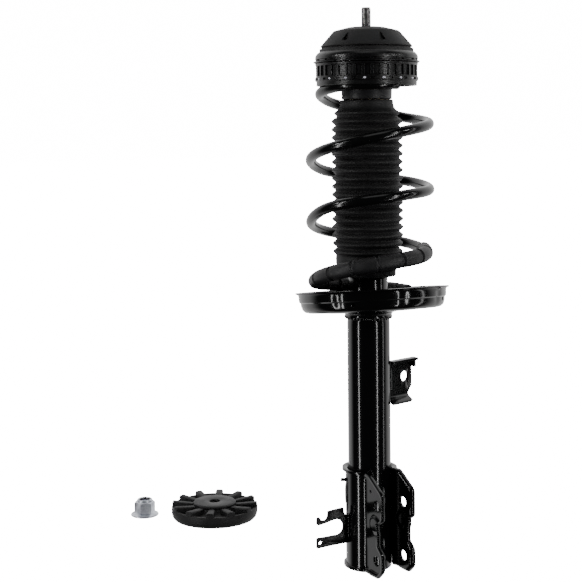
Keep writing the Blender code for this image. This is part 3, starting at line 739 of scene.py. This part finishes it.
def climb(azimuth):
    """Height of the wire's centre: a cubic through the listed heights, with eased slopes."""
    last = len(CLIMB) - 1
    azimuth = min(max(azimuth, CLIMB[0][0]), CLIMB[last][0])
    step = max(i for i in range(last) if CLIMB[i][0] <= azimuth)
    (a0, z0), (a1, z1) = CLIMB[step], CLIMB[step + 1]
    before, after = CLIMB[max(step - 1, 0)], CLIMB[min(step + 2, last)]
    slope_0 = (z1 - before[1]) / (a1 - before[0]) * (a1 - a0)
    slope_1 = (after[1] - z0) / (after[0] - a0) * (a1 - a0)
    t = (azimuth - a0) / (a1 - a0)
    return (
        (2 * t**3 - 3 * t**2 + 1) * z0 + (t**3 - 2 * t**2 + t) * slope_0
        + (3 * t**2 - 2 * t**3) * z1 + (t**3 - t**2) * slope_1
    )


def coil_centre(azimuth):
    """The wire's centre; the middle coils stand a little off the damper's axis."""
    radius = COIL_R + 5 * smooth_step(325, 505, azimuth) - 14.5 * smooth_step(1045, 1225, azimuth)
    radius -= 5.5 * smooth_step(1215, 1275, azimuth)
    middle = across(3 * (1 - smooth_step(1045, 1225, azimuth)), -35)
    return middle + across(radius, azimuth, climb(azimuth))


def wound(bm, start, end):
    """Winds a straight bar that stands on Z, one unit tall, round the coil between two azimuths."""
    for vert in bm.verts:
        azimuth = start + vert.co.z * (end - start)
        tangent = (coil_centre(azimuth + 0.5) - coil_centre(azimuth - 0.5)).normalized()
        upward = across(1, azimuth).cross(tangent).normalized()
        vert.co = coil_centre(azimuth) + tangent.cross(upward) * vert.co.x + upward * vert.co.y
    return bm


low, high = CLIMB[0][0], CLIMB[-1][0]
stations = round((high - low) / 4)
bar = [(0, 0), (WIRE_R - 0.5, 0), (WIRE_R - 0.1, 0.0003)]
bar += [(WIRE_R, 0.0007 + 0.9986 * step / stations) for step in range(stations + 1)]
bar += [(WIRE_R - 0.1, 0.9997), (WIRE_R - 0.5, 1), (0, 1)]
spring = wound(lathe(bar, WIRE_SIDES, ring=False), low, high)
spring_coat = black_paint("spring_coat", peel=1.4, dust=1.1, roughness=0.17)
spring_piece = piece(spring, "spring", spring_coat, "strut", "spring_paint", "coil_spring")


# ---------------------------------------------------------------- spring sleeve
# A rubber tube pushed over the lowest coil, so that the wire doesn't knock or chafe on the seat. It
# is moulded with a narrow groove about every 28 mm.

SLEEVE_R = 9
SLEEVE_ENDS = (10, 340)
GROOVE_STEP = 24.4
FIRST_GROOVE = 22.6


def black_rubber(name, bloom=0.5, grain=1.0, roughness=0.5, colour=0.012):
    """Moulded black rubber: fine grain, dull patches of bloom and a little dust."""
    finish = Finish(name, Specular_IOR_Level=0.45)
    film = finish.noise(34, 5, roughness=0.6).ramp(0.4, 0.75)
    fine = finish.noise(1500, 3)
    dust = finish.noise(420, 4, roughness=0.7).ramp(0.52, 0.8)
    pale = film * bloom * 0.5 + dust * bloom * 0.3
    finish.feed(
        Base_Color=finish.blend(pale, grey(colour, 1.1), grey(0.03, 1.05)),
        Roughness=film * 0.14 + fine * 0.12 + roughness,
    )
    finish.bump(fine + finish.noise(300, 2) * 0.8, 0.00007 * grain, 0.7)
    return finish


low, high = SLEEVE_ENDS
stations = round(high - low)
outside = []
for step in range(stations + 1):
    azimuth = low + (high - low) * step / stations
    from_groove = abs((azimuth - FIRST_GROOVE + GROOVE_STEP / 2) % GROOVE_STEP - GROOVE_STEP / 2)
    groove = 1.5 * (1 - smooth_step(0.9, 1.7, from_groove)) - 0.25 * bump_round(from_groove, 2.4, 1.2)
    ends = min(step, stations - step)
    outside.append((SLEEVE_R - groove - (0.5 if ends == 0 else 0), step / stations))
inside = [(6.5, z) for r, z in reversed(outside[::4])]
sleeve = wound(lathe(outside + inside, WIRE_SIDES), low, high)
sleeve_rubber = black_rubber("sleeve_rubber", bloom=0.55, roughness=0.42, colour=0.014)
sleeve_piece = piece(sleeve, "sleeve", sleeve_rubber, "strut", "rubber", "spring_sleeve")


# ---------------------------------------------------------------- dust boot
# A blow-moulded bellows that keeps grit off the rod: a flared neck clipped round the bumper's cup,
# eighteen folds, and a tapered cuff with a stiff ring at its foot.

FOLDS = 18
FOLD_TOP_Z = 540.5
FOLD_STEP = 9.68
FOLD_R = 42.6
FOLD_VALLEY_R = 38.2
BOOT_FOOT_Z = 347

outside = [(28.9, 556.4), (30.6, 556.4), (31.3, 555.8), (31.6, 552), (32.4, 548.4), (34.2, 545.2)]
for step in range(FOLDS * 10 - 3):
    z = FOLD_TOP_Z + 2.9 - step * FOLD_STEP / 10
    wave = (0.5 + 0.5 * cos(2 * pi * (z - FOLD_TOP_Z) / FOLD_STEP)) ** 0.85
    taper = 1.2 * (1 - smooth_step(372, 402, z)) + 3.4 * smooth_step(534, 538, z)
    outside.append((FOLD_VALLEY_R - taper + (FOLD_R - FOLD_VALLEY_R) * wave, z))
foot = [(38.2, 371), (38.6, 368.5), (38.4, 362), (37, 357.5), (34.4, 354.6), (33.2, 352.4)]
foot += [(33.3, 348.4), (32.8, BOOT_FOOT_Z), (31.3, BOOT_FOOT_Z), (31.5, 354), (35, 360), (36, 368)]
inside = [(r - 1.9, z) for r, z in reversed(outside[6:])] + [(34, 545), (31.6, 548)]
boot = lathe(outside + foot + inside, 120)
boot_rubber = black_rubber("boot_rubber", bloom=0.35, roughness=0.5, colour=0.008)
boot_piece = piece(boot, "boot", boot_rubber, "strut", "rubber", "dust_boot", smooth_below=50)

ring = lathe(
    [
        (23.5, BOOT_FOOT_Z), (31, BOOT_FOOT_Z), (31, 354.8), (29.6, 355), (29, 350), (25, 350),
        (24.6, 355), (23.5, 355),
    ],
    96,
)


def black_plastic(name, roughness=0.3, colour=0.006, grain=1.0):
    """Moulded black nylon: spark-eroded grain, faint flow marks and dust in its corners."""
    finish = Finish(name, Specular_IOR_Level=0.5)
    flow = finish.noise(45, 4, roughness=0.6).ramp(0.4, 0.72)
    pits = finish.noise(1900, 2)
    dust = finish.noise(520, 3, roughness=0.7).ramp(0.56, 0.8)
    finish.feed(
        Base_Color=finish.blend(dust * flow * 0.45, grey(colour, 1.1), grey(0.05, 1.05)),
        Roughness=flow * 0.1 + pits * 0.14 + dust * 0.12 + roughness,
    )
    finish.bump(pits + flow * 0.6, 0.00005 * grain, 0.6)
    return finish


piece(soften(ring, 0.3, 40), "boot_ring", black_plastic("ring_plastic"), "strut", "black_plastic",
      "boot_retainer")


# ---------------------------------------------------------------- bumper housing
# A smooth moulded cup that holds the foam bumper and carries the boot's neck. It hangs under the
# upper spring seat.

HOUSING_TOP = 583.7
housing = lathe(
    [
        (12.6, HOUSING_TOP), (30.4, HOUSING_TOP), (30.4, 571), (30.1, 562), (29.9, 557.6),
        (29.3, 557), (28.6, 557), (28.4, 560), (28.4, 581), (12.6, 581),
    ],
    128,
)
cup_plastic = black_rubber("cup_plastic", bloom=0.45, roughness=0.36)
piece(soften(housing, 0.4, 40), "bumper_cup", cup_plastic, "spring_carrier", "black_plastic",
      "bumper_housing")


# ---------------------------------------------------------------- upper spring seat
# The bearing's lower half in glass-filled nylon. Thirty-six ribs stiffen its skirt between two
# bands, eighteen notches open in its lower edge, and seventeen small tabs stand among them, coloured
# pale as a painted highlight for the glints along that edge.

SKIRT_R = 61.5
COLUMNS = 432
NOTCH_Z = (579.6, 582.2)
TABS = 17
FIRST_TAB = 190.5
TAB_SIZE = (1.3, 2.3, 1.6)
rows = [
    (58.4, 573.2), (59.6, 573), (60, 573.5), (60, 577.6), (60.4, 578.4), (SKIRT_R, 579),
    (SKIRT_R, NOTCH_Z[0]), (SKIRT_R, 580), (SKIRT_R, 581.8), (SKIRT_R, NOTCH_Z[1]),
    (SKIRT_R, 583.2), (60.7, 583.7), (60.7, 584.3), (60.7, 584.9), (60.7, 596.2), (60.7, 596.8),
    (60.7, 597.4), (SKIRT_R, 597.9), (SKIRT_R, 599.4), (61, 600), (54, 600), (54, 587), (24, 587),
    (24, 584), (57.6, 584), (57.6, 576),
]
upper = lathe(rows, COLUMNS)
for vert in upper.verts:
    azimuth = degrees(atan2(vert.co.y, vert.co.x))
    column = round(azimuth * COLUMNS / 360) % COLUMNS
    outside = Vector((vert.co.x, vert.co.y)).length > 58.5
    if outside and 584.5 < vert.co.z < 596.5 and column % 12 > 3:
        vert.co -= across(2.2, azimuth)
    if outside and 579.8 < vert.co.z < 582 and column % 24 < 6:
        vert.co -= across(1.8, azimuth)
seat_plastic = black_plastic("seat_plastic", roughness=0.22)
piece(upper, "top_seat", seat_plastic, "spring_carrier", "black_plastic", "upper_spring_seat",
      smooth_below=30)
tabs = bmesh.new()
for number in range(TABS):
    azimuth = FIRST_TAB + number * 360 / TABS
    turn = Matrix.Rotation(radians(azimuth), 4, "Z") @ Matrix.Diagonal((*TAB_SIZE, 1))
    place = Matrix.Translation(across(60.7, azimuth, 580.9)) @ turn
    bmesh.ops.create_icosphere(tabs, subdivisions=3, radius=1, matrix=place)
# The tabs' pale grey is a painted highlight: it stands in for glints on the skirt's lower edge.
piece(tabs, "painted_glint_tabs", black_plastic("painted_glint_nylon", colour=0.75), "spring_carrier",
      "black_plastic")
pad = lathe([(44.3, 580.4), (56.9, 580.4), (57.2, 581), (57.2, 583.7), (44, 583.7), (44, 581)], 96)
piece(pad, "top_pad", black_rubber("pad_rubber"), "spring_carrier", "rubber", "upper_spring_pad")


# ---------------------------------------------------------------- bearing cover
# The bearing's upper half, which stays with the body while the skirt below it turns. A thin lip
# sheds water over the joint between them.

cover = lathe(
    [
        (34, 601.5), (52, 601.5), (54, 600.5), (62.6, 600.5), (63.5, 600.9), (63.5, 601.9),
        (62.4, 602.5), (61.2, 603), (61.2, 604.2), (SKIRT_R, 604.6), (SKIRT_R, 607.3),
        (60.9, 609.4), (59.6, 611.2), (58, 612.6), (57.2, 613.2), (56.7, 613.2), (56.5, 607),
        (34, 607),
    ],
    COLUMNS,
)
for vert in cover.verts:
    reach = Vector((vert.co.x, vert.co.y)).length
    azimuth = degrees(atan2(vert.co.y, vert.co.x))
    column = round(azimuth * COLUMNS / 360) % COLUMNS
    if 61 < reach < 61.4 and 602.7 < vert.co.z < 604.4 and column % 24 > 3:
        vert.co -= across(1.6, azimuth)
piece(cover, "cover", black_plastic("cover_plastic", roughness=0.2), "top_mount", "black_plastic",
      "bearing_cover", smooth_below=32)


# ---------------------------------------------------------------- rubber mount
# The dome that seats in the strut tower: rubber moulded over a steel core, with a flat crown round
# the stud and seven wedge-shaped pockets that soften its shoulder.

POCKETS = 7
FIRST_POCKET = -103
dome = lathe(
    [
        (10.3, 609.6), (55.8, 609.6), (56.2, 610), (56.2, 616.4), (55.8, 617.2), (54.6, 617.6),
        (53.2, 616.6), (52.4, 616.6), (52.0, 617.6), (52.2, 618.8), (54.6, 619.4), (54.9, 620.2),
        (54.2, 621.4), (47, 629.8), (40.4, 637.4), (39, 638.6), (37, 639.2), (30, 641),
        (23, 642.8), (21.5, 643), (8.6, 643), (7.8, 642.6), (7, 641.8), (7, 641), (13.5, 641),
        (13.5, 629), (10.3, 629),
    ],
    168,
)
wedges = []
corners = [(-3.6, 625.2), (3.6, 625.2), (3.9, 626.4), (0.9, 634.4), (-0.9, 634.4), (-3.9, 626.4)]
for number in range(POCKETS):
    wedge = prism([(45.4 - 0.35 * (z - 625), v, z) for v, z in corners], (14, 0, 0))
    wedges.append(moved(wedge, FIRST_POCKET + number * 360 / POCKETS))
dome = joined(dome, "DIFFERENCE", *wedges)
dome_rubber = black_rubber("dome_rubber", bloom=0.3, roughness=0.5, colour=0.008)
piece(dome, "dome", dome_rubber, "top_mount", "rubber", "mount_rubber", smooth_below=34)


# ---------------------------------------------------------------- piston rod and its stud
# Hard-chromed and ground steel. Its upper end is turned down to an M12 stud with a rolled thread and
# a chamfered tip, dull grey where the thread was rolled.

STUD_TOP = 667
THREAD_PITCH = 1.5
THREAD_DEPTH = 0.75
STUD_R = 6
THREAD_FOOT = 631
THREAD_STEP = 0.25
steps = int((STUD_TOP - 1 - THREAD_FOOT) / THREAD_STEP) + 1
rows = [THREAD_FOOT + step * THREAD_STEP for step in range(steps)]
profile = [(0, 301), (5, 301), (5, 335), (10.6, 335), (11, 335.4), (11, 605), (10, 606)]
profile += [(5.9, 606), (5.9, 630.8)] + [(STUD_R, z) for z in rows]
profile += [(5.2, STUD_TOP - 0.4), (4.9, STUD_TOP), (0, STUD_TOP)]
rod = lathe(profile, 64, ring=False)
for vert in rod.verts:
    if THREAD_FOOT - 0.1 < vert.co.z < STUD_TOP - 0.9:
        azimuth = degrees(atan2(vert.co.y, vert.co.x))
        turn = (vert.co.z / THREAD_PITCH - azimuth / 360) % 1
        depth = THREAD_DEPTH * smooth_step(0.1, 0.45, abs(turn - 0.5))
        depth += 0.9 * smooth_step(STUD_TOP - 2.2, STUD_TOP - 0.8, vert.co.z)
        vert.co -= across(depth * (0.85 if depth > 0.75 else 1), azimuth)
steel = Finish("rod_steel", Metallic=1.0)
grain = steel.noise(900, 2, stretch=(1, 1, 0.05))
stains = steel.noise(300, 4, roughness=0.65).ramp(0.45, 0.75)
steel.feed(
    Base_Color=steel.blend(stains, grey(0.42), (0.25, 0.24, 0.235, 1)),
    Roughness=grain * 0.12 + stains * 0.18 + 0.24,
)
steel.bump(grain, 0.00002, 0.5)
piece(rod, "rod", steel, "top_mount", "chrome", "piston_rod", smooth_below=45)


# ---------------------------------------------------------------- stop disc
# A loose rubber disc that goes on top of the strut tower, with a steel washer moulded into its
# middle. Twelve rounded lugs run out from the washer to the rim of its bowl-shaped skirt.

DISC_AT = (-67, 269)
DISC_R = 58
HUB_R = 28.5
LUGS = 12
FIRST_LUG = 85
at = (*DISC_AT, 0)
bowl = lathe(
    [
        (7.2, 0), (51, 0), (54.4, 0.9), (56.6, 3.4), (57.8, 7), (DISC_R, 11), (DISC_R, 14.6),
        (57.4, 15.8), (55.6, 16), (53.4, 14.8), (51, 12.6), (44, 12), (34, 12.4), (31.2, 14),
        (30, 16.4), (29, 17.5), (7.2, 17.5),
    ],
    144,
)
side, top, corner = 5.2, 21.2, 2.6
outline = [(-side, 6), (side, 6)] + arc((side - corner, top - corner), corner, 0, 90, 5)
outline += arc((corner - side, top - corner), corner, 90, 180, 5)
for number in range(LUGS):
    lug = prism([(HUB_R, v, z) for v, z in outline], (DISC_R - 0.8 - HUB_R, 0, 0))
    for vert in lug.verts:
        if vert.co.x < HUB_R + 1:
            vert.co.z -= max(0, vert.co.z - 15) * 0.4
            vert.co.y *= 0.8
    soften(lug, 1.1, 60, 3)
    bowl = joined(bowl, "UNION", moved(lug, FIRST_LUG + number * 360 / LUGS))
soften(bowl, 0.4, 42, 2)
disc_rubber = black_rubber("disc_rubber", bloom=0.5, grain=1.6, roughness=0.5, colour=0.008)
piece(moved(bowl, 0, at), "disc", disc_rubber, "loose_disc", "rubber", "rebound_disc", smooth_below=44)
washer = lathe(
    [(7, 17.9), (27.8, 17.9), (HUB_R, 18.7), (HUB_R, 20.4), (27.6, 21.4), (26.2, 22), (8.6, 22),
     (7.5, 21.5), (7, 20.5)],
    120,
)
washer_skin = black_rubber("washer_skin", bloom=0.6, roughness=0.42, colour=0.02)
piece(moved(washer, 0, at), "disc_plate", washer_skin, "loose_disc", "rubber", "disc_washer")


# ---------------------------------------------------------------- tower nut
# A cold-formed M12 flange nut in bright zinc, with chamfered corners and a locking ring crimped
# into its collar.

NUT_AT = (-143, 328)
HEX = 24.5  # across flats
HEX_HEIGHT = 16.2
NUT_TURN = 12
at = (*NUT_AT, 0)
flange = lathe(
    [(6.5, 0), (17.6, 0), (18.7, 0.6), (19, 1.4), (18.6, 2.2), (16, 3.2), (13.4, 4.4), (11.6, 6.4),
     (6.5, 6.4)],
    96,
)
corner_r = HEX / sqrt(3)
hexagon = bmesh.new()
bmesh.ops.create_cone(
    hexagon, cap_ends=True, segments=6, radius1=corner_r, radius2=corner_r, depth=HEX_HEIGHT,
    matrix=Matrix.Translation((0, 0, 11.1)) @ Matrix.Rotation(radians(NUT_TURN), 4, "Z"),
)
crown = lathe([(0, 2), (15, 2), (15, 16.6), (13.4, 17.8), (11.6, 19.2), (0, 19.2)], 96, ring=False)
hexagon = joined(hexagon, "INTERSECT", crown)
collar = lathe(
    [(6.5, 12), (10.6, 12), (10.6, 20.4), (10.2, 21.6), (9.2, 22.4), (8.5, 22.2), (8, 21.2), (6.5, 18)],
    96,
)
nut = joined(flange, "UNION", hexagon)
nut = joined(nut, "UNION", collar)
nut = joined(nut, "DIFFERENCE", pin(STUD_R + 0.1, (0, 0, -5), (0, 0, 30), 64))
soften(nut, 0.3, 40, 2)
zinc = Finish("zinc_plate", Metallic=1.0)
cloud = zinc.noise(160, 4, roughness=0.6).ramp(0.35, 0.7)
zinc.feed(
    Base_Color=zinc.blend(cloud, (0.82, 0.85, 0.92, 1), (0.66, 0.69, 0.76, 1)),
    Roughness=cloud * 0.14 + zinc.noise(1200, 2) * 0.12 + 0.26,
)
zinc.bump(zinc.noise(700, 3), 0.00002, 0.4)
piece(moved(nut, 0, at), "nut", zinc, "loose_nut", "zinc", "tower_nut", smooth_below=40)
lock = lathe([(6.6, 19), (7.2, 19), (7.8, 20.6), (7.2, 21.2), (6.6, 20.8)], 72)
piece(moved(lock, 0, at), "lock_ring", black_plastic("lock_plastic", colour=0.02), "loose_nut",
      "nylon", "nut_locking_ring")


# ---------------------------------------------------------------- pieces inside
# The damper's inner parts, the bearing and the mount's core keep their own shapes and only get a
# finish: turned steel, sintered bronze, moulded nylon, foam or rubber.


def turned_steel(name, shade=0.34, tint=1.0):
    """Turned or pressed steel with fine tool lines round it and an oily film."""
    finish = Finish(name, Metallic=1.0)
    lines = finish.noise(60, 2, stretch=(1, 1, 60))
    oil = finish.noise(70, 4).ramp(0.4, 0.7)
    finish.feed(
        Base_Color=finish.blend(oil, (shade, shade * tint, shade * tint**2, 1), grey(shade * 0.7)),
        Roughness=lines * 0.16 + oil * 0.1 + 0.2,
    )
    finish.bump(lines, 0.00002, 0.5)
    return finish


foam = Finish("foam", Roughness=0.85)
cells = foam.node("ShaderNodeTexVoronoi", {}, {"Vector": foam.place, "Scale": 900.0}, "Distance")
foam.feed(Base_Color=foam.blend(foam.noise(60, 4), (0.5, 0.42, 0.26, 1), (0.62, 0.54, 0.36, 1)))
foam.bump(cells, 0.0002, 0.6)
hidden = {
    "bare_steel": turned_steel("plain_steel"),
    "bronze": turned_steel("sintered_bronze", 0.45, 0.62),
    "zinc": turned_steel("plated_steel", 0.6, 1.02),
    "rubber": black_rubber("seal_rubber"),
    "black_plastic": black_plastic("cap_plastic"),
    "urethane": foam,
    "nylon": black_plastic("cage_nylon", colour=0.03),
}
replaced = {
    "strut_tube", "tube_base", "lower_spring_seat", "knuckle_bracket", "link_bracket",
    "hose_bracket", "coil_spring", "spring_sleeve", "dust_boot", "boot_retainer", "bumper_housing",
    "upper_spring_seat", "upper_spring_pad", "bearing_cover", "mount_rubber", "piston_rod",
    "rebound_disc", "disc_washer", "tower_nut", "nut_locking_ring",
}
for entry in frame["record"]["subparts"]:
    if entry["node"] not in replaced:
        inside_piece = frame["nodes"][entry["node"]]
        inside_piece.data.materials.clear()
        inside_piece.data.materials.append(hidden[entry["material_slot"]].material)


# ---------------------------------------------------------------- the soft pieces
# The spring, its sleeve and the boot each get a mesh of their own; the heights of their feet and
# tops are listed, in metres.

SPRING_SPAN = (0.3137, 0.574)
BOOT_SPAN = (0.347, 0.5564)
for soft, (foot_z, top_z) in (
    (spring_piece, SPRING_SPAN), (sleeve_piece, SPRING_SPAN), (boot_piece, BOOT_SPAN),
):
    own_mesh(soft)
